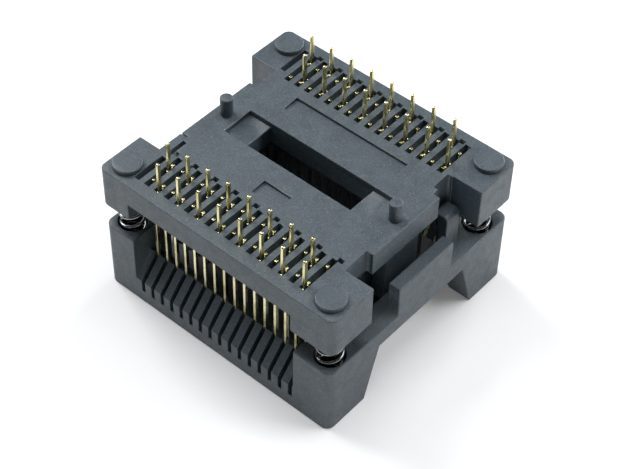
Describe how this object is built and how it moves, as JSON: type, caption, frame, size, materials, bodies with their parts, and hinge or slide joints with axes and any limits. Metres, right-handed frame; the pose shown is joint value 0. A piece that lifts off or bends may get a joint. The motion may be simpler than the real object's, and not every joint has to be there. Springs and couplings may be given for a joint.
{
  "type": "ic test socket",
  "caption": "Open-top test socket for a small-outline package, lying cover down with its solder tails up: base, sprung cover, seating nest and two banks of gold spring contacts.",
  "frame": {"origin": "middle of the face the cover rests on, below the middle of the socket", "axes": "+X along the two banks of contacts, +Y towards the far bank, +Z from the cover towards the solder tails"},
  "size_m": [0.0288, 0.0266, 0.0185],
  "materials": {
    "base_plastic": "matt moulded glass-filled thermoplastic, slate grey-blue",
    "nest_plastic": "matt moulded glass-filled thermoplastic, slate grey-blue",
    "cover_plastic": "matt moulded glass-filled thermoplastic, slate grey-blue",
    "contact_gold": "thin gold plate on stamped copper alloy",
    "lever_gold": "thin gold plate on stamped copper alloy",
    "spring_steel": "bright drawn stainless spring wire"
  },
  "bodies": {
    "cover": {"cover": "cover_plastic", "return_spring_1": "spring_steel", "return_spring_2": "spring_steel", "return_spring_3": "spring_steel", "return_spring_4": "spring_steel"},
    "base": {"base_body": "base_plastic", "seating_nest": "nest_plastic", "near_comb": "nest_plastic", "far_comb": "nest_plastic", "near_contact_1": "contact_gold", "near_contact_2": "contact_gold", "near_contact_3": "contact_gold", "near_contact_4": "contact_gold", "near_contact_5": "contact_gold", "near_contact_6": "contact_gold", "near_contact_7": "contact_gold", "near_contact_8": "contact_gold", "near_contact_9": "contact_gold", "near_contact_10": "contact_gold", "near_contact_11": "contact_gold", "near_contact_12": "contact_gold", "near_contact_13": "contact_gold", "near_contact_14": "contact_gold", "near_contact_15": "contact_gold", "near_contact_16": "contact_gold", "far_contact_1": "contact_gold", "far_contact_2": "contact_gold", "far_contact_3": "contact_gold", "far_contact_4": "contact_gold", "far_contact_5": "contact_gold", "far_contact_6": "contact_gold", "far_contact_7": "contact_gold", "far_contact_8": "contact_gold", "far_contact_9": "contact_gold", "far_contact_10": "contact_gold", "far_contact_11": "contact_gold", "far_contact_12": "contact_gold", "far_contact_13": "contact_gold", "far_contact_14": "contact_gold", "far_contact_15": "contact_gold", "far_contact_16": "contact_gold"},
    "near_arms": {"near_contact_arms": "lever_gold"},
    "far_arms": {"far_contact_arms": "lever_gold"}
  },
  "joints": [
    {"name": "press", "type": "slide", "parent": "cover", "child": "base", "axis": [0, 0, -1], "range_m": [0, 0.0023], "stiffness_N_per_m": 2400, "springref_m": -0.001, "deforming": ["return_spring_1", "return_spring_2", "return_spring_3", "return_spring_4"]},
    {"name": "near_arms_open", "type": "hinge", "parent": "base", "child": "near_arms", "pos_m": [0, -0.0098, 0.0114], "axis": [-1, 0, 0], "range_deg": [0, 8]},
    {"name": "far_arms_open", "type": "hinge", "parent": "base", "child": "far_arms", "pos_m": [0, 0.0098, 0.0114], "axis": [1, 0, 0], "range_deg": [0, 8]}
  ],
  "couplings": [
    {"joint": "near_arms_open", "follows": "press", "rad_per_m": 60.5},
    {"joint": "far_arms_open", "follows": "press", "rad_per_m": 60.5}
  ]
}
